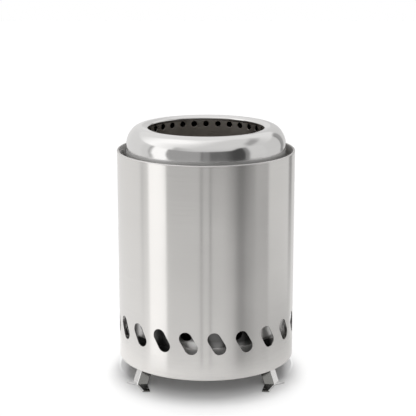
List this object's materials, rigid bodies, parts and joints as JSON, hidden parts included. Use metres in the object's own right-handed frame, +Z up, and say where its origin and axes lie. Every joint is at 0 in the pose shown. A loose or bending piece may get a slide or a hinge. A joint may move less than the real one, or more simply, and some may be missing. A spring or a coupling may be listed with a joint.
{
  "type": "tabletop fire pit",
  "caption": "Round tabletop fire pit: a brushed steel sleeve with slanted vent slots stands on folded legs and holds a lift-out double-walled stove with a rounded top.",
  "frame": {"origin": "on the table, under the centre of the pit", "axes": "+Z up along the axis of the pit, -Y towards the front, +X to the viewer's right"},
  "size_m": [0.13, 0.13, 0.1823],
  "materials": {
    "sleeve_steel": "fine horizontal brushing",
    "leg_steel": "satin stainless steel",
    "hidden_steel": "mill finish sheet",
    "jacket_steel": "satin polished stainless steel",
    "chamber_steel": "mill finish stainless steel",
    "fastener_steel": "bright zinc and stainless"
  },
  "bodies": {
    "sleeve": {"outer_shell": "sleeve_steel", "base_plate": "hidden_steel", "leg_front_left": "leg_steel", "leg_front_right": "leg_steel", "leg_rear_right": "leg_steel", "leg_rear_left": "leg_steel", "stove_bracket_0": "hidden_steel", "stove_bracket_1": "hidden_steel", "stove_bracket_2": "hidden_steel", "stove_bracket_3": "hidden_steel", "rivets": "fastener_steel", "heat_shield": "hidden_steel", "shield_spacers": "fastener_steel", "shield_screws": "fastener_steel", "shield_nuts": "fastener_steel"},
    "stove": {"stove_jacket": "jacket_steel", "stove_base": "hidden_steel", "burn_chamber": "chamber_steel", "grate_clip_0": "chamber_steel", "grate_clip_1": "chamber_steel", "grate_clip_2": "chamber_steel", "grate_clip_3": "chamber_steel"},
    "ash_pan": {"ash_pan": "chamber_steel"},
    "grate": {"grate": "chamber_steel"}
  },
  "joints": [
    {"name": "stove_lift", "type": "slide", "parent": "sleeve", "child": "stove", "axis": [0, 0, 1], "range_m": [0, 0.15]},
    {"name": "pan_lift", "type": "slide", "parent": "stove", "child": "ash_pan", "axis": [0, 0, 1], "range_m": [0, 0.165]},
    {"name": "grate_lift", "type": "slide", "parent": "ash_pan", "child": "grate", "axis": [0, 0, 1], "range_m": [0, 0.13]}
  ]
}
